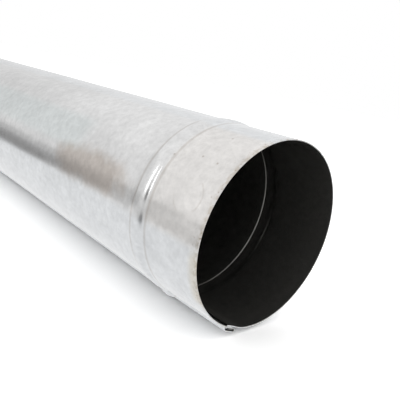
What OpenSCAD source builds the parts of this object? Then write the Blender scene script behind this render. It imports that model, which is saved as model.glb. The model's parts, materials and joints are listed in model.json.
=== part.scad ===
// Round galvanised duct pipe, rolled from one sheet and closed by a folded lock seam.
// The pipe lies along X with its mouth at +X. At z = 0 it rests on its bead and on the seam's edge,
// where it stops when it is left to roll.
// Behind the mouth come a collar that enters the next length, and the bead that stops it.

/* [Pipe] */
// Outer radius of the body
body_r = 50; // [40:1:80]
// Overall length, as such pipe is sold
pipe_l = 1000; // [250:50:2000]
// Thickness of the sheet
sheet_t = 0.5; // [0.4:0.05:0.7]

/* [Collar] */
// Length of the collar, from the mouth to the bead
collar_l = 37.6; // [25:0.1:60]
// Gap all round between the collar and the far end of the next length
collar_gap = 0.05; // [0.05:0.05:0.3]

/* [Bead] */
// Height of the bead's crest above the body
bead_h = 0.9; // [0.8:0.05:1.5]
// Length of the shallow lead-in on the collar side
lead_l = 1.9; // [1:0.1:3]
// Slope of the lead-in
lead_a = 2.5; // [1:0.5:4]
// Bend radius at the foot of the steep flank
foot_r = 4; // [3:0.5:5]
// Slope of the steep flank
flank_a = 26; // [24:1:30]
// Bend radius at the top of the flank
nose_r = 2.5; // [1.5:0.5:3]
// Slope at which the flank's bend runs into the crown
brow_a = 14; // [10:1:16]
// Bend radius of the crown
crown_r = 11; // [8:1:12]
// Slope of the ramp down to the body
ramp_a = 14; // [10:1:18]
// Bend radius at the foot of the ramp
toe_r = 2.5; // [1.5:0.5:4]

/* [Lock seam] */
// Width over the folded seam
seam_w = 8.7; // [6:0.1:12]
// Gap between the folded layers
fold_gap = 0.1; // [0.06:0.02:0.2]

/* [Hidden] */

// Facets of a full turn, in the preview only
$fn = 180;
// Sheet metal grey
sheet_colour = [0.80, 0.81, 0.82];
// Steps in one bend of the bead
bead_steps = 5;
// Steps in a quarter turn of a fold
fold_steps = 4;
// Steps along the flat leg of a fold, which follows the curve of the pipe
leg_steps = 4;
// The folds are this much thicker than the wall on each face, so they take in its edges
fold_skin = 0.02;
// The wall's edges reach half of this lap into the folds
lap = 1;

fold_t = sheet_t + 2 * fold_skin;
// Distance between the middles of two folded layers
layer = fold_t + fold_gap;
// Centre of the fold that the sheet arriving from the bottom makes
hook_u = -seam_w / 2 + 2 * layer + fold_t / 2;
// Centre of the fold that the sheet arriving from the side makes
cover_u = seam_w / 2 - layer - fold_t / 2;
// Where the covering sheet starts to step up over the hook
step_u = hook_u - 2 * layer - fold_t;

collar_drop = sheet_t + collar_gap;
axis_z = body_r + bead_h;

// The seam's edge is a round fold of this radius, which meets the floor beside the bead
edge_r = layer + fold_t / 2;
edge_turn = acos((axis_z - edge_r) / (axis_z - sheet_t + level(2)));
// Direction of the seam's middle in degrees from straight down, negative towards -Y
seam_a = -edge_turn - cover_u / body_r * 180 / PI;

// Unit vector that is square to a heading, on its left
function left_of(a) = [-sin(a), cos(a)];

// Points along a bend [radius, heading in, heading out] that starts at p.
// The radius is positive where the path turns right, and negative where it turns left.
function bend(p, b, steps) = [
    for (i = [1 : steps])
        let (a = b[1] + (b[2] - b[1]) * i / steps)
            p + b[0] * (left_of(a) - left_of(b[1]))
];

// Rise of a bend
function rise(b) = b[0] * (cos(b[2]) - cos(b[1]));

// Last entry of a list
function last(list) = list[len(list) - 1];

// The bead's bends in order from the collar to the body
lead_bend = [-foot_r, 0, lead_a];
foot_bend = [-foot_r, lead_a, flank_a];
nose_bend = [nose_r, flank_a, brow_a];
crown_bend = [crown_r, brow_a, -ramp_a];
toe_bend = [-toe_r, -ramp_a, 0];

// Straight stretches that bring the crest and the toe to their heights
crest_rise = rise([crown_r, brow_a, 0]);
bends_up = rise(lead_bend) + lead_l * sin(lead_a) + rise(foot_bend) + rise(nose_bend) + crest_rise;
flank_l = (bead_h + collar_drop - bends_up) / sin(flank_a);
bends_down = -rise([crown_r, 0, -ramp_a]) - rise(toe_bend);
ramp_l = (bead_h - bends_down) / sin(ramp_a);

// A straight stretch of length l at heading a, from p
function ahead(p, l, a) = [p + l * [cos(a), sin(a)]];

// Outside of the wall from the mouth to the far end, as [distance from the mouth, height over the body]
function outside() =
    let (
        start = [[0, -collar_drop], [collar_l, -collar_drop]],
        lead = bend(last(start), lead_bend, 1),
        lead_end = ahead(last(lead), lead_l, lead_a),
        foot = bend(last(lead_end), foot_bend, bead_steps),
        flank = ahead(last(foot), flank_l, flank_a),
        nose = bend(last(flank), nose_bend, bead_steps),
        crown = bend(last(nose), crown_bend, 2 * bead_steps),
        ramp = ahead(last(crown), ramp_l, -ramp_a),
        toe = bend(last(ramp), toe_bend, bead_steps)
    )
    concat(start, lead, lead_end, foot, flank, nose, crown, ramp, toe, [[pipe_l, 0]]);

// The same line as [place along the pipe, radius of the inside of the wall]
stations = [for (p = outside()) [pipe_l / 2 - p[0], body_r - sheet_t + p[1]]];

// Angle about the axis of a place u along the curve of the wall, from the seam's middle
function turn(u) = seam_a + u / body_r * 180 / PI;

// Outline of a folded sheet, from the middle line's [point, heading] entries
function thicken(path) = concat(
    [for (p = path) p[0] + fold_t / 2 * left_of(p[1])],
    [for (i = [len(path) - 1 : -1 : 0]) path[i][0] - fold_t / 2 * left_of(path[i][1])]
);

// Straight leg from u0 to u1 at height v, as [point, heading] entries
function leg(u0, u1, v, steps) = [
    for (i = [0 : steps])
        [[u0 + (u1 - u0) * i / steps, v], u1 > u0 ? 0 : 180]
];

// Bend about a centre, as [point, heading] entries without its two ends.
// side is 1 where the path turns left about the centre, and -1 where it turns right.
function turn_about(centre, r, a0, a1, side) =
    let (steps = round(abs(a1 - a0) / 90 * fold_steps))
    [
        for (i = [1 : steps - 1])
            let (a = a0 + (a1 - a0) * i / steps)
                [centre - side * r * left_of(a), a]
    ];

// Middle of the wall, and of each layer that lies over it
function level(n) = sheet_t / 2 + n * layer;

// Middle line of the sheet from the bottom: along the wall, round its hook and back on top
function hook_path() = concat(
    leg(hook_u + lap, hook_u, level(0), 1),
    turn_about([hook_u, level(1)], layer, 180, 0, -1),
    leg(hook_u, cover_u, level(2), leg_steps)
);

// Middle line of the sheet from the side: a step up over the hook, across it, round and back inside it
function cover_path() = concat(
    leg(step_u - lap, step_u, level(0), 1),
    turn_about([step_u, level(0) + fold_t], fold_t, 0, 90, 1),
    [[[step_u + fold_t, level(0) + fold_t], 90]],
    turn_about([hook_u, level(1)], 2 * layer, 90, 0, -1),
    leg(hook_u, cover_u, level(3), leg_steps),
    turn_about([cover_u, level(2)], layer, 0, -180, -1),
    leg(cover_u, hook_u, level(1), leg_steps)
);

// A section's point [u, v] on the curved wall at one station
function on_wall(p, station) =
    let (r = station[1] + p[1], a = turn(p[0]))
    [station[0], r * sin(a), -r * cos(a)];

// Two triangles of a four-sided face
function split(a, b, c, d) = [[a, b, c], [a, c, d]];

// One folded edge of the sheet, swept along the pipe and over the bead
module folded_edge(path) {
    section = thicken(path);
    n = len(section);
    m = len(stations);
    points = [for (s = stations, p = section) on_wall(p, s)];
    sides = [
        for (i = [0 : m - 2], j = [0 : n - 1])
            let (k = (j + 1) % n)
            each split(i * n + j, i * n + k, i * n + n + k, i * n + n + j)
    ];
    // Each end is closed by a strip of faces from one side of the sheet to the other
    far_face = (m - 1) * n;
    ends = [
        for (j = [0 : len(path) - 2])
            let (k = n - 1 - j)
            each concat(
                split(j, k, k - 1, j + 1),
                split(far_face + j, far_face + j + 1, far_face + k - 1, far_face + k)
            )
    ];
    polyhedron(points, concat(sides, ends));
}

// The rolled wall, open where the sheet leaves it to step over the hook
module rolled_wall() {
    first = turn(hook_u + lap / 2);
    open_angle = first - turn(step_u - lap / 2);
    outer_line = [for (s = stations) [s[1] + sheet_t, s[0]]];
    inner_line = [for (i = [len(stations) - 1 : -1 : 0]) [stations[i][1], stations[i][0]]];
    rotate([0, 90, 0])
        rotate_extrude(angle = 360 - open_angle, start = first)
            polygon(concat(outer_line, inner_line));
}

module duct_pipe() {
    color(sheet_colour)
        translate([0, 0, axis_z]) {
            rolled_wall();
            folded_edge(hook_path());
            folded_edge(cover_path());
        }
}

duct_pipe();
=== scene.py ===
# Looks of the round galvanised duct pipe: one folded sheet, its metal, and the studio round it.
import json
import math

import bpy
import numpy as np
from mathutils import Matrix, Vector


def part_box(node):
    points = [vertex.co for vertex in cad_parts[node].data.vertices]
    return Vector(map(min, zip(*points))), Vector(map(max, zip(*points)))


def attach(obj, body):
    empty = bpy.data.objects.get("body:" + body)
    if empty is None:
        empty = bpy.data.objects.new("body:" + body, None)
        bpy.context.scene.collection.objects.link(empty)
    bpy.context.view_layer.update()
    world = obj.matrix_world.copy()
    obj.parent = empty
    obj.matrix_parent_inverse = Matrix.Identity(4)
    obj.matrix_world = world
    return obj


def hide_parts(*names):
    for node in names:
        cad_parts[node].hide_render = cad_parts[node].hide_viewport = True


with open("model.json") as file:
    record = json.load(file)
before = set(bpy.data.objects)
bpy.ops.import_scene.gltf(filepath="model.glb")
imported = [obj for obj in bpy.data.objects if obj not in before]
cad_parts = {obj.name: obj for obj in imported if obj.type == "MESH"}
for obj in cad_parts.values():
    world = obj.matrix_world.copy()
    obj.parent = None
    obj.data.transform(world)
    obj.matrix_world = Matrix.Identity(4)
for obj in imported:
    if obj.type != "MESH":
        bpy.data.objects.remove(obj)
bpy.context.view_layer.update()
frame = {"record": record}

MM = 0.001
NODE = "duct_pipe"
BODY = "root"

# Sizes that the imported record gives, in millimetres
mounts = {m["name"]: m for m in frame["record"]["mounts"]}
BORE_R = mounts["far_end"]["dims"]["r_mm"]
COLLAR_L = mounts["mouth"]["dims"]["length_mm"]
AXIS_Z = mounts["mouth"]["pos_m"][2] / MM
MOUTH_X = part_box(NODE)[1].x / MM
PIPE_L = (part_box(NODE)[1].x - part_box(NODE)[0].x) / MM

# Sheet and lock seam, in millimetres and degrees, as the solid has them
SHEET_T = 0.5
SEAM_W = 8.7
LAYER = 0.64
FOLD_SKIN = 0.02
BODY_R = BORE_R + SHEET_T

# Bead as the photograph shows it: its bends' radii and slopes from the collar to the body
COLLAR_DROP = 0.25
BEAD_H = 0.9
LEAD_L, LEAD_A = 1.7, 3.0
FOOT_R, FLANK_A = 4.6, 22.5
NOSE_R, BROW_A = 6.0, 14.0
CROWN_R, BACK_A = 12.0, 3.0
BACK_L = 2.9
STEP_R, STEP_A = 0.7, 46.0
STEP_FOOT_R = 0.95
RAMP_A = 4.5
TOE_R = 10.0


def seam_rest_angle():
    """Direction of the seam in degrees from straight down, where its round edge meets the floor."""
    fold_t = SHEET_T + 2 * FOLD_SKIN
    edge_r = LAYER + fold_t / 2
    edge_u = SEAM_W / 2 - LAYER - fold_t / 2
    edge_reach = AXIS_Z - SHEET_T / 2 + 2 * LAYER
    return -math.degrees(math.acos((AXIS_Z - edge_r) / edge_reach) + edge_u / BODY_R)


SEAM_A = seam_rest_angle()
# Where the photograph's level camera sees the seam
SEAM_IN_PHOTO = -34.0


def left_of(a):
    a = np.radians(a)
    return np.stack([-np.sin(a), np.cos(a)], -1)


# Shape of the wall along the pipe
def bend(start, radius, a0, a1, steps):
    a = np.linspace(a0, a1, steps + 1)[1:]
    return start + radius * (left_of(a) - left_of(a0))


def rise(radius, a0, a1):
    return radius * (math.cos(math.radians(a1)) - math.cos(math.radians(a0)))


def ahead(start, length, a, steps=2):
    share = np.linspace(0, length, steps + 1)[1:, None]
    return start + share * np.array([math.cos(math.radians(a)), math.sin(math.radians(a))])


def bead_line():
    """[distance from the mouth, height of the wall's outside over the body], along the bead."""
    up = (rise(-FOOT_R, 0, LEAD_A) + LEAD_L * math.sin(math.radians(LEAD_A))
          + rise(-FOOT_R, LEAD_A, FLANK_A) + rise(NOSE_R, FLANK_A, BROW_A) + rise(CROWN_R, BROW_A, 0))
    down = -(rise(CROWN_R, 0, -BACK_A) - BACK_L * math.sin(math.radians(BACK_A))
             + rise(STEP_R, -BACK_A, -STEP_A) + rise(-STEP_FOOT_R, -STEP_A, -RAMP_A)
             + rise(-TOE_R, -RAMP_A, 0))
    flank_l = (BEAD_H + COLLAR_DROP - up) / math.sin(math.radians(FLANK_A))
    ramp_l = (BEAD_H - down) / math.sin(math.radians(RAMP_A))
    line = [np.array([[COLLAR_L, -COLLAR_DROP]])]
    line.append(bend(line[-1][-1], -FOOT_R, 0, LEAD_A, 2))
    line.append(ahead(line[-1][-1], LEAD_L, LEAD_A))
    line.append(bend(line[-1][-1], -FOOT_R, LEAD_A, FLANK_A, 7))
    line.append(ahead(line[-1][-1], flank_l, FLANK_A))
    line.append(bend(line[-1][-1], NOSE_R, FLANK_A, BROW_A, 4))
    line.append(bend(line[-1][-1], CROWN_R, BROW_A, -BACK_A, 8))
    line.append(ahead(line[-1][-1], BACK_L, -BACK_A))
    line.append(bend(line[-1][-1], STEP_R, -BACK_A, -STEP_A, 5))
    line.append(bend(line[-1][-1], -STEP_FOOT_R, -STEP_A, -RAMP_A, 6))
    line.append(ahead(line[-1][-1], ramp_l, -RAMP_A, 3))
    line.append(bend(line[-1][-1], -TOE_R, -RAMP_A, 0, 3))
    return np.concatenate(line)


def stations():
    """Distances from the mouth at which the sheet is cut, and the wall's height over the body there."""
    bead = bead_line()
    collar = np.concatenate([[0, 0.12, 0.4], np.arange(1, 6), np.arange(8, COLLAR_L - 1, 2.5)])
    body_start = bead[-1, 0]
    steps = np.linspace(2.0, 14.0, 200)
    body = body_start + np.cumsum(steps)
    body = np.append(body[body < PIPE_L - 6], [PIPE_L - 1, PIPE_L])
    s = np.concatenate([collar, bead[:, 0], body])
    h = np.concatenate([np.full(len(collar), bead[0, 1]), bead[:, 1], np.zeros(len(body))])
    return s, h


# Section of the sheet, as [u along the wall, v outwards from its inside] and heading
def level(n):
    return SHEET_T / 2 + n * LAYER


def leg(u0, u1, v, steps):
    u = np.linspace(u0, u1, steps + 1)
    return np.column_stack([u, np.full_like(u, v), np.full_like(u, 0 if u1 > u0 else 180)])


def turn_about(centre, r, a0, a1, side, steps):
    a = np.linspace(a0, a1, steps + 1)[1:-1]
    return np.column_stack([np.array(centre) - side * r * left_of(a), a])


FOLD_STEPS = 10
LEG_STEPS = 8
ROUND_STEPS = 172


def sheet_path():
    """Middle line of the whole sheet from one free edge to the other, and which of it is plain wall."""
    hook_u = -SEAM_W / 2 + 2 * LAYER + SHEET_T / 2
    cover_u = SEAM_W / 2 - LAYER - SHEET_T / 2
    step_u = hook_u - 2 * LAYER - SHEET_T
    round_u = 2 * math.pi * BODY_R
    hook = [
        leg(cover_u, hook_u, level(2), LEG_STEPS),
        turn_about((hook_u, level(1)), LAYER, 180, 360, 1, FOLD_STEPS),
    ]
    wall = leg(hook_u, round_u + step_u, level(0), ROUND_STEPS)
    cover = [
        turn_about((step_u, level(0) + SHEET_T), SHEET_T, 0, 90, 1, FOLD_STEPS // 2),
        [[step_u + SHEET_T, level(0) + SHEET_T, 90]],
        turn_about((hook_u, level(1)), 2 * LAYER, 90, 0, -1, FOLD_STEPS // 2),
        leg(hook_u, cover_u, level(3), LEG_STEPS),
        turn_about((cover_u, level(2)), LAYER, 0, -180, -1, FOLD_STEPS),
        leg(cover_u, hook_u, level(1), LEG_STEPS),
    ]
    first = sum(len(p) for p in hook)
    cover[0] = cover[0] + [round_u, 0, 0]
    cover[1] = np.array(cover[1]) + [round_u, 0, 0]
    for i in range(2, len(cover)):
        cover[i] = cover[i] + [round_u, 0, 0]
    path = np.concatenate([*hook, wall, *cover])
    return path, first, first + len(wall)


# How far the real sheet stands off the true cylinder
def mouth_shape(theta):
    """Out-of-round of the mouth: the handled rim has sunk a little at the seam and spread across."""
    return (-0.35 + 0.55 * np.cos(theta) - 0.55 * np.sin(theta)
            - 0.30 * np.cos(2 * theta) - 0.05 * np.sin(2 * theta))


def dents(theta, s):
    """Shallow waves that rolling and handling leave, in millimetres."""
    rng = np.random.default_rng(7)
    total = np.zeros(np.broadcast(theta, s).shape)
    for _ in range(14):
        turns = rng.integers(2, 7)
        wave = rng.uniform(90, 320)
        phase, along = rng.uniform(0, 2 * math.pi, 2)
        size = 0.09 / turns
        total += size * np.cos(turns * theta + phase) * np.cos(2 * math.pi * s / wave + along)
    return total


# The folded seam is too stiff to be rolled, so the wall there is nearly flat, and lies lower by SEAM_SINK
SEAM_SINK = 0.85
SEAM_FLAT = math.radians(13)
# At the cut rim the folded layers have sprung this much further apart
SEAM_SPREAD = 0.1


def near_mouth(s):
    """1 at the mouth, falling to 0 behind the collar."""
    return np.clip(1 - s / (COLLAR_L + 6), 0, 1) ** 1.4


def stand_off(theta, s):
    from_seam = np.clip(np.abs(theta - math.radians(180 + SEAM_IN_PHOTO)) / SEAM_FLAT, 0, 1)
    sink = SEAM_SINK * (1 + np.cos(math.pi * from_seam)) / 2
    rim = mouth_shape(theta) * near_mouth(s) - sink
    stiff = 1 - 0.8 * np.exp(-((s - COLLAR_L - 6) / 14) ** 2)
    return rim + dents(theta, s) * stiff


def face_points(path, side, s, h):
    """One face of the sheet in metres, with a row for each station and a column for each path point."""
    turn_u = path[:, 0] + side * SHEET_T / 2 * left_of(path[:, 2])[:, 0]
    skin = side * SHEET_T / 2 * left_of(path[:, 2])[:, 1]
    lift = path[:, 1] - level(0)
    turn = np.radians(SEAM_A) + turn_u / BODY_R
    seen = np.radians(180 + SEAM_IN_PHOTO) + turn_u / BODY_R
    seen, ss = np.meshgrid(seen, s)
    spread = 1 + SEAM_SPREAD * near_mouth(ss)
    v = level(0) + lift * spread + skin
    r = BODY_R - SHEET_T + h[:, None] + v + stand_off(seen, ss)
    return np.stack([MOUTH_X - ss, r * np.sin(turn), AXIS_Z - r * np.cos(turn)], -1) * MM


def grid_faces(first, rows, columns, flip):
    """Quads of a grid of points whose numbers start at first."""
    i, j = np.meshgrid(np.arange(rows - 1), np.arange(columns - 1), indexing="ij")
    a = first + i * columns + j
    quads = np.stack([a, a + 1, a + columns + 1, a + columns], -1).reshape(-1, 4)
    return quads[:, ::-1] if flip else quads


def strip_faces(one, other):
    """Quads between two equal runs of point numbers."""
    return np.stack([one[:-1], one[1:], other[1:], other[:-1]], -1)


def make_pipe():
    path, wall_first, wall_last = sheet_path()
    s, h = stations()
    rows, columns = len(s), len(path)
    outer = face_points(path, 1, s, h)
    inner = face_points(path, -1, s, h)
    points = np.concatenate([outer.reshape(-1, 3), inner.reshape(-1, 3)])
    number = np.arange(rows * columns).reshape(rows, columns)
    under = number + rows * columns
    outside = grid_faces(0, rows, columns, False)
    inside = grid_faces(rows * columns, rows, columns, True)
    rims = np.concatenate([
        strip_faces(number[0][::-1], under[0][::-1]),
        strip_faces(number[-1], under[-1]),
        strip_faces(number[:, 0], under[:, 0]),
        strip_faces(number[::-1, -1], under[::-1, -1]),
    ])
    faces = np.concatenate([outside, inside, rims])
    mesh = bpy.data.meshes.new("pipe_sheet")
    mesh.from_pydata(points.tolist(), [], faces.tolist())
    column = np.tile(np.arange(columns - 1), rows - 1)
    bare_wall = (column >= wall_first) & (column < wall_last - 1)
    slots = np.zeros(len(faces), np.int32)
    slots[len(outside):len(outside) + len(inside)] = bare_wall
    mesh.polygons.foreach_set("material_index", slots)
    mesh.polygons.foreach_set("use_smooth", np.ones(len(faces), bool))
    mesh.update()
    mesh.set_sharp_from_angle(angle=math.radians(50))
    pipe = bpy.data.objects.new("pipe_sheet", mesh)
    bpy.context.scene.collection.objects.link(pipe)
    return pipe


# Small helpers for material nodes
class Nodes:
    def __init__(self, tree):
        self.tree = tree

    def add(self, kind, **settings):
        node = self.tree.nodes.new(kind)
        for key, value in settings.items():
            setattr(node, key, value)
        return node

    def link(self, value, socket):
        if isinstance(value, bpy.types.NodeSocket):
            self.tree.links.new(value, socket)
        else:
            socket.default_value = value

    def math(self, operation, *values, clamp=False):
        node = self.add("ShaderNodeMath", operation=operation, use_clamp=clamp)
        for value, socket in zip(values, node.inputs):
            self.link(value, socket)
        return node.outputs[0]

    def ramp(self, value, low, high, to_low=0.0, to_high=1.0):
        node = self.add("ShaderNodeMapRange", interpolation_type="SMOOTHSTEP")
        for item, socket in zip((value, low, high, to_low, to_high), node.inputs):
            self.link(item, socket)
        return node.outputs[0]

    def line(self, value, low, high, to_low=0.0, to_high=1.0):
        node = self.add("ShaderNodeMapRange")
        for item, socket in zip((value, low, high, to_low, to_high), node.inputs):
            self.link(item, socket)
        return node.outputs[0]

    def blend(self, share, one, other):
        """Number between one and other."""
        node = self.add("ShaderNodeMix", data_type="FLOAT")
        for item, socket in zip((share, one, other), (node.inputs[0], node.inputs[2], node.inputs[3])):
            self.link(item, socket)
        return node.outputs[0]

    def product(self, *values):
        total = values[0]
        for value in values[1:]:
            total = self.math("MULTIPLY", total, value)
        return total

    def noise(self, where, scale, detail=2.0, roughness=0.5, distortion=0.0):
        node = self.add("ShaderNodeTexNoise")
        self.link(where, node.inputs["Vector"])
        node.inputs["Scale"].default_value = scale
        node.inputs["Detail"].default_value = detail
        node.inputs["Roughness"].default_value = roughness
        node.inputs["Distortion"].default_value = distortion
        return node.outputs[0]

    def mix(self, share, one, other, blend="MIX"):
        node = self.add("ShaderNodeMix", data_type="RGBA", blend_type=blend)
        self.link(share, node.inputs[0])
        self.link(one, node.inputs[6])
        self.link(other, node.inputs[7])
        return node.outputs[2]

    def scaled(self, colour, factor):
        node = self.add("ShaderNodeVectorMath", operation="SCALE")
        self.link(colour, node.inputs[0])
        self.link(factor, node.inputs["Scale"])
        return node.outputs[0]

    def stained(self, colour, share, factor):
        """The colour multiplied by a factor, as far as share says."""
        return self.mix(share, colour, self.mix(1.0, colour, factor, "MULTIPLY"))


def new_material(name):
    material = bpy.data.materials.new(name)
    material.use_nodes = True
    nodes = Nodes(material.node_tree)
    shader = material.node_tree.nodes["Principled BSDF"]
    return material, nodes, shader


def pipe_places(n):
    """Place on the pipe: object coordinates, millimetres behind the mouth, and degrees from the
    photograph's top towards the side that it shows."""
    where = n.add("ShaderNodeTexCoord").outputs["Object"]
    turned = n.add("ShaderNodeVectorRotate", rotation_type="X_AXIS")
    n.link(where, turned.inputs["Vector"])
    turned.inputs["Center"].default_value = (0, 0, AXIS_Z * MM)
    turned.inputs["Angle"].default_value = math.radians(SEAM_IN_PHOTO - SEAM_A)
    split = n.add("ShaderNodeSeparateXYZ")
    n.link(turned.outputs[0], split.inputs[0])
    x, y, z = split.outputs
    behind = n.math("MULTIPLY", n.math("SUBTRACT", MOUTH_X * MM, x), 1 / MM)
    height = n.math("SUBTRACT", z, AXIS_Z * MM)
    turn = n.math("ARCTAN2", n.math("MULTIPLY", y, -1.0), height)
    return where, behind, n.math("MULTIPLY", turn, 180 / math.pi)


def from_point(n, behind, degrees, s, theta, long=1.0, wide=1.0):
    """Distance from a point on the pipe, in units of long along it and wide round it, in millimetres."""
    along = n.math("MULTIPLY", n.math("SUBTRACT", behind, s), 1 / long)
    mm_per_degree = BODY_R * math.pi / 180
    around = n.math("MULTIPLY", n.math("SUBTRACT", degrees, theta), mm_per_degree / wide)
    squares = n.math("ADD", n.math("POWER", along, 2.0), n.math("POWER", around, 2.0))
    return n.math("SQRT", squares)


def between(n, value, low, high, soft):
    """1 between two values, falling to 0 over the width soft outside them."""
    rising = n.ramp(value, low - soft, low)
    falling = n.ramp(value, high, high + soft, 1.0, 0.0)
    return n.product(rising, falling)


ZINC = (0.70, 0.70, 0.70, 1)
ZINC_WARM = (0.715, 0.70, 0.685, 1)
# Painted reflection: this cooler zinc tint on the crown and low on the side stands for what the metal
# reflects there
ZINC_COOL_REFLECTION = (0.685, 0.70, 0.715, 1)
ZINC_GREEN = (0.67, 0.70, 0.70, 1)
# Marks multiply the zinc by these
STAIN = (0.77, 0.71, 0.66, 1)
GRIME = (0.80, 0.76, 0.70, 1)
BEIGE = (0.94, 0.89, 0.81, 1)
# Darkens the lines along the bead's feet and the rubbed swirl
FAINT_DARKENING = (0.86, 0.84, 0.82, 1)
SPECK = (0.55, 0.49, 0.43, 1)
SPECKS = [(39, 36), (22.5, 31), (19, 12), (12, 32)]
SPECK_R = 0.8
SWIRL_AT, SWIRL_R, SWIRL_W = (16, 54), 8.5, 0.7
# Middle of the stain in millimetres and degrees, and its half length and half width
STAIN_OVAL = (98, 64, 50, 13.5)


def zinc_colour(n, where, behind, degrees):
    """Bare zinc, warmer on the handled collar and mottled, with a painted reflection: a cooler tint on
    the crown and low on the side.
    """
    collar = n.ramp(behind, COLLAR_L - 2, COLLAR_L + 4, 1.0, 0.0)
    colour = n.mix(collar, ZINC, ZINC_WARM)
    greenish = n.product(n.ramp(behind, 105, 125), between(n, degrees, 38, 54, 8))
    colour = n.mix(greenish, colour, ZINC_GREEN)
    # Painted reflection: the crown and the low side are tinted cooler
    painted_cool_reflection = n.math("SUBTRACT", 1.0, between(n, degrees, 8, 74, 6))
    colour = n.mix(painted_cool_reflection, colour, ZINC_COOL_REFLECTION)
    fine = n.math("MULTIPLY_ADD", n.noise(where, 260, 4, 0.65), 0.42, 0.79)
    broad = n.math("MULTIPLY_ADD", n.noise(where, 55, 3), 0.24, 0.88)
    return n.scaled(colour, n.product(fine, broad))


def handling_marks(n, colour, where, behind, degrees):
    """The stain, the grime of the rim, darker lines along the bead's feet, the specks and the rubbed
    swirl.
    """
    ragged = n.math("MULTIPLY_ADD", n.noise(where, 70, 4, 0.6), 0.9, -0.45)
    stain = n.math("ADD", from_point(n, behind, degrees, *STAIN_OVAL), ragged)
    stain = n.ramp(stain, 0.45, 1.05, 1.0, 0.0)
    colour = n.stained(colour, stain, STAIN)
    patches = n.noise(where, 420, 3, 0.6)
    rim = n.product(n.ramp(behind, 0.3, 3.2, 1.0, 0.0), n.ramp(patches, 0.36, 0.62))
    colour = n.stained(colour, rim, GRIME)
    beige = n.product(n.ramp(behind, 2.5, 7, 1.0, 0.0), between(n, degrees, 84, 108, 8))
    colour = n.stained(colour, beige, BEIGE)
    near_foot = between(n, behind, 37.6, 38.2, 1.0)
    far_foot = between(n, behind, 49.0, 50.0, 1.2)
    # Darker lines along the bead's near and far feet
    colour = n.stained(colour, n.math("MAXIMUM", near_foot, far_foot), FAINT_DARKENING)
    grains = n.add("ShaderNodeTexVoronoi")
    n.link(where, grains.inputs["Vector"])
    grains.inputs["Scale"].default_value = 520
    grains = n.ramp(grains.outputs["Distance"], 0.10, 0.24, 1.0, 0.0)
    dirty = n.math("MAXIMUM", n.ramp(behind, 1, 6, 1.0, 0.0),
                   n.product(near_foot, n.ramp(degrees, 86, 100)))
    specks = n.product(grains, dirty, n.ramp(n.noise(where, 130), 0.48, 0.62))
    for s, theta in SPECKS:
        speck = n.ramp(from_point(n, behind, degrees, s, theta), 0.3 * SPECK_R, SPECK_R, 0.6, 0.0)
        specks = n.math("MAXIMUM", specks, speck)
    colour = n.stained(colour, specks, SPECK)
    ring = n.math("SUBTRACT", from_point(n, behind, degrees, *SWIRL_AT), SWIRL_R)
    swirl = n.ramp(n.math("ABSOLUTE", ring), 0.2 * SWIRL_W, SWIRL_W, 0.6, 0.0)
    swirl = n.product(swirl, n.ramp(n.noise(where, 90), 0.45, 0.6))
    return n.stained(colour, swirl, FAINT_DARKENING), stain


def galvanised():
    material, n, shader = new_material("galvanised_outside")
    where, behind, degrees = pipe_places(n)
    zinc = zinc_colour(n, where, behind, degrees)
    colour, stain = handling_marks(n, zinc, where, behind, degrees)
    n.link(colour, shader.inputs["Base Color"])
    shader.inputs["Metallic"].default_value = 1.0
    bare = n.ramp(n.noise(where, 60, 3), 0.3, 0.7, 0.18, 0.22)
    n.link(n.blend(stain, bare, 0.27), shader.inputs["Roughness"])
    bump = n.add("ShaderNodeBump")
    bump.inputs["Strength"].default_value = 0.12
    bump.inputs["Distance"].default_value = 0.0001
    n.link(n.noise(where, 500, 3), bump.inputs["Height"])
    n.link(bump.outputs[0], shader.inputs["Normal"])
    return material


def inside_metal():
    """The unhandled inside: duller zinc, its colour darkened by painted shade and mottled in clouds."""
    material, n, shader = new_material("galvanised_inside")
    where, behind, degrees = pipe_places(n)
    clouds = n.noise(where, 60, 4, 0.6)
    # Painted shade: the inside's zinc is darkened to 0.20 to 0.30, against 0.70 outside
    colour = n.mix(n.ramp(clouds, 0.35, 0.68), (0.30, 0.295, 0.28, 1), (0.20, 0.195, 0.185, 1))
    n.link(colour, shader.inputs["Base Color"])
    shader.inputs["Metallic"].default_value = 0.93
    n.link(n.ramp(clouds, 0.3, 0.7, 0.30, 0.40), shader.inputs["Roughness"])
    return material


# Studio floor. Open floor shows white and keeps the pipe's shadow. In the metal it shows as a pale
# surface with a grey strip beside the pipe, whose edges are in metres along X or Y.
FLOOR_GLOW = 0.97
FAR_GLOW = 0.62
STRIP_NEAR_MOUTH, STRIP_NEAR_BODY, STRIP_NEAR_FAR_END = -0.155, -0.122, -0.106
STRIP_MIDDLE, STRIP_FAR, STRIP_FADE = -0.178, -0.331, -0.600
STRIP_EDGE = 0.004
# Along X: from, to, and the strip's strength at both, on its side by the pipe and on its outer side
STRIP_BY_PIPE = (0.095, 0.245, 0.29, 0.70)
STRIP_OUTER = (-0.20, 0.20, 0.40, 0.78)
# Past the bead the strip is darkest
BEAD_DARK_FROM, BEAD_DARK_TO, BEAD_DARK = 0.38, 0.41, 0.15


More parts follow.
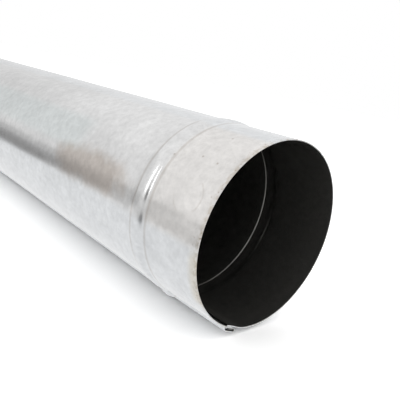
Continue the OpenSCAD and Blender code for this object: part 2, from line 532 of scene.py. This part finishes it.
def mirrored_floor(n):
    """What the metal sees of the floor, as a strength."""
    split = n.add("ShaderNodeSeparateXYZ")
    n.link(n.add("ShaderNodeTexCoord").outputs["Object"], split.inputs[0])
    x, y, _ = split.outputs
    past_bead = n.ramp(x, BEAD_DARK_FROM, BEAD_DARK_TO)
    near_side = n.blend(past_bead, n.line(x, *STRIP_BY_PIPE), BEAD_DARK)
    far_side = n.line(x, *STRIP_OUTER)
    strip = n.blend(n.line(y, STRIP_MIDDLE, STRIP_FAR), near_side, far_side)
    beyond = n.blend(n.line(y, STRIP_FAR, STRIP_FADE), far_side, FLOOR_GLOW)
    beyond = n.blend(n.ramp(x, -0.18, -0.12), FAR_GLOW, beyond)
    strip = n.blend(n.ramp(y, STRIP_FAR - STRIP_EDGE, STRIP_FAR + STRIP_EDGE), beyond, strip)
    edge = n.ramp(x, -0.10, 0.12, STRIP_NEAR_FAR_END, STRIP_NEAR_BODY)
    edge = n.blend(n.ramp(x, 0.12, 0.24), edge, STRIP_NEAR_MOUTH)
    clear = n.ramp(n.math("SUBTRACT", y, edge), -STRIP_EDGE, STRIP_EDGE)
    return n.blend(clear, strip, FLOOR_GLOW)


def floor_material():
    material, n, shader = new_material("floor")
    tree = material.node_tree
    output = tree.nodes["Material Output"]
    tree.nodes.remove(shader)
    rays = n.add("ShaderNodeLightPath").outputs

    def diffuse(level):
        node = n.add("ShaderNodeBsdfDiffuse")
        node.inputs["Color"].default_value = (level, level, level, 1)
        return node.outputs[0]

    def glow(strength):
        node = n.add("ShaderNodeEmission")
        n.link(strength, node.inputs["Strength"])
        return node.outputs[0]

    def both(one, other):
        node = n.add("ShaderNodeAddShader")
        n.link(one, node.inputs[0])
        n.link(other, node.inputs[1])
        return node.outputs[0]

    def either(share, one, other):
        node = n.add("ShaderNodeMixShader")
        n.link(share, node.inputs[0])
        n.link(one, node.inputs[1])
        n.link(other, node.inputs[2])
        return node.outputs[0]

    shown = both(both(diffuse(1.0), diffuse(0.55)), glow(0.01))
    # Only where the camera sees the floor in the metal, so that the metal casts no glow on the floor
    seen_in_metal = n.math("MAXIMUM", rays["Is Glossy Ray"], rays["Is Transmission Ray"])
    direct = n.math("LESS_THAN", rays["Diffuse Depth"], 0.5)
    seen_in_metal = n.product(seen_in_metal, direct)
    surface = either(rays["Is Camera Ray"], diffuse(0.9), shown)
    surface = either(seen_in_metal, surface, glow(mirrored_floor(n)))
    n.link(surface, output.inputs["Surface"])
    return material


FLOOR_REACH = 15.0


def make_floor():
    r = FLOOR_REACH
    mesh = bpy.data.meshes.new("floor")
    mesh.from_pydata([(-r, -r, 0), (r, -r, 0), (r, r, 0), (-r, r, 0)], [], [(0, 1, 2, 3)])
    mesh.materials.append(floor_material())
    floor = bpy.data.objects.new("floor", mesh)
    bpy.context.scene.collection.objects.link(floor)


# Camera: the photograph's, found from the ellipse of the mouth and the edges of the pipe
PHOTO_SIDE = 400
FOCAL_PX = 474.5
FIT_UNIT = 49.05
CAMERA_FROM_MOUTH = (2.710, -3.288, 2.273)
CAMERA_PITCH = 23.76
CAMERA_HEADING = 49.25


def make_camera():
    data = bpy.data.cameras.new("camera")
    data.sensor_width = 36
    data.lens = data.sensor_width * FOCAL_PX / PHOTO_SIDE
    data.clip_start = 0.01
    data.clip_end = 60
    camera = bpy.data.objects.new("camera", data)
    mouth = Vector((MOUTH_X, 0, AXIS_Z))
    place = Matrix.Translation((mouth + Vector(CAMERA_FROM_MOUTH) * FIT_UNIT) * MM)
    heading = Matrix.Rotation(math.radians(CAMERA_HEADING), 4, "Z")
    pitch = Matrix.Rotation(math.radians(90 - CAMERA_PITCH), 4, "X")
    # The pipe is stored as it comes to rest, so the camera turns about its axis with it
    axis = Vector((0, 0, AXIS_Z * MM))
    roll = Matrix.Rotation(math.radians(SEAM_A - SEAM_IN_PHOTO), 4, "X")
    turned = Matrix.Translation(axis) @ roll @ Matrix.Translation(-axis)
    camera.matrix_world = turned @ place @ heading @ pitch
    bpy.context.scene.collection.objects.link(camera)
    bpy.context.scene.camera = camera


def direction(azimuth, elevation):
    a, e = math.radians(azimuth), math.radians(elevation)
    return Vector((math.cos(a) * math.cos(e), math.sin(a) * math.cos(e), math.sin(e)))


# Studio round the pipe, as strengths
SKY, HIGH_SKY, BEHIND_FAR_END = 0.97, 1.02, 0.78
MOUTH_SIDE, DARK_SIDE = 0.80, 0.12
# Patches of it: azimuth, elevation, and the angles from there at which it is full and gone
MOUTH_SIDE_PATCH = (0, 10, 25, 60)
DARK_SIDE_PATCH = (-86, -9, 20, 28)


def make_world():
    world = bpy.data.worlds.new("studio")
    bpy.context.scene.world = world
    world.use_nodes = True
    n = Nodes(world.node_tree)
    background = world.node_tree.nodes["Background"]
    where = n.add("ShaderNodeTexCoord").outputs["Generated"]

    def near(azimuth, elevation, inner, outer):
        """1 within the inner angle of a direction, 0 beyond the outer one."""
        dot = n.add("ShaderNodeVectorMath", operation="DOT_PRODUCT")
        n.link(where, dot.inputs[0])
        dot.inputs[1].default_value = direction(azimuth, elevation)
        return n.ramp(dot.outputs["Value"], math.cos(math.radians(outer)), math.cos(math.radians(inner)))

    split = n.add("ShaderNodeSeparateXYZ")
    n.link(where, split.inputs[0])
    x, y, z = split.outputs
    azimuth = n.math("MULTIPLY", n.math("ARCTAN2", y, x), 180 / math.pi)
    horizon = n.ramp(n.math("ABSOLUTE", azimuth), 132, 182, SKY, BEHIND_FAR_END)
    sky = n.blend(n.ramp(z, 0.36, 0.54), horizon, HIGH_SKY)
    sky = n.blend(near(*MOUTH_SIDE_PATCH), sky, MOUTH_SIDE)
    sky = n.blend(near(*DARK_SIDE_PATCH), sky, DARK_SIDE)
    seen = n.add("ShaderNodeLightPath").outputs["Is Camera Ray"]
    sky = n.blend(seen, sky, 1.0)
    colour = n.scaled((1.0, 1.0, 1.0), sky)
    n.link(colour, background.inputs["Color"])
    background.inputs["Strength"].default_value = 1.0


def make_lamp(name, azimuth, elevation, distance, width, height, radiance):
    data = bpy.data.lights.new(name, "AREA")
    data.shape = "RECTANGLE"
    data.size = width
    data.size_y = height
    data.energy = radiance * math.pi * width * height
    lamp = bpy.data.objects.new(name, data)
    towards = direction(azimuth, elevation)
    target = Vector((MOUTH_X * MM, 0, AXIS_Z * MM))
    lamp.location = target + towards * distance
    lamp.rotation_euler = towards.to_track_quat("Z", "Y").to_euler()
    lamp.visible_camera = False
    bpy.context.scene.collection.objects.link(lamp)


pipe = make_pipe()
pipe.data.materials.append(galvanised())
pipe.data.materials.append(inside_metal())
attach(pipe, BODY)
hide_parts(NODE)

make_floor()
make_camera()
make_world()
make_lamp("strip_light", azimuth=-117, elevation=20, distance=1.2, width=0.07, height=0.56, radiance=5.0)

bpy.context.scene.view_settings.view_transform = "Standard"
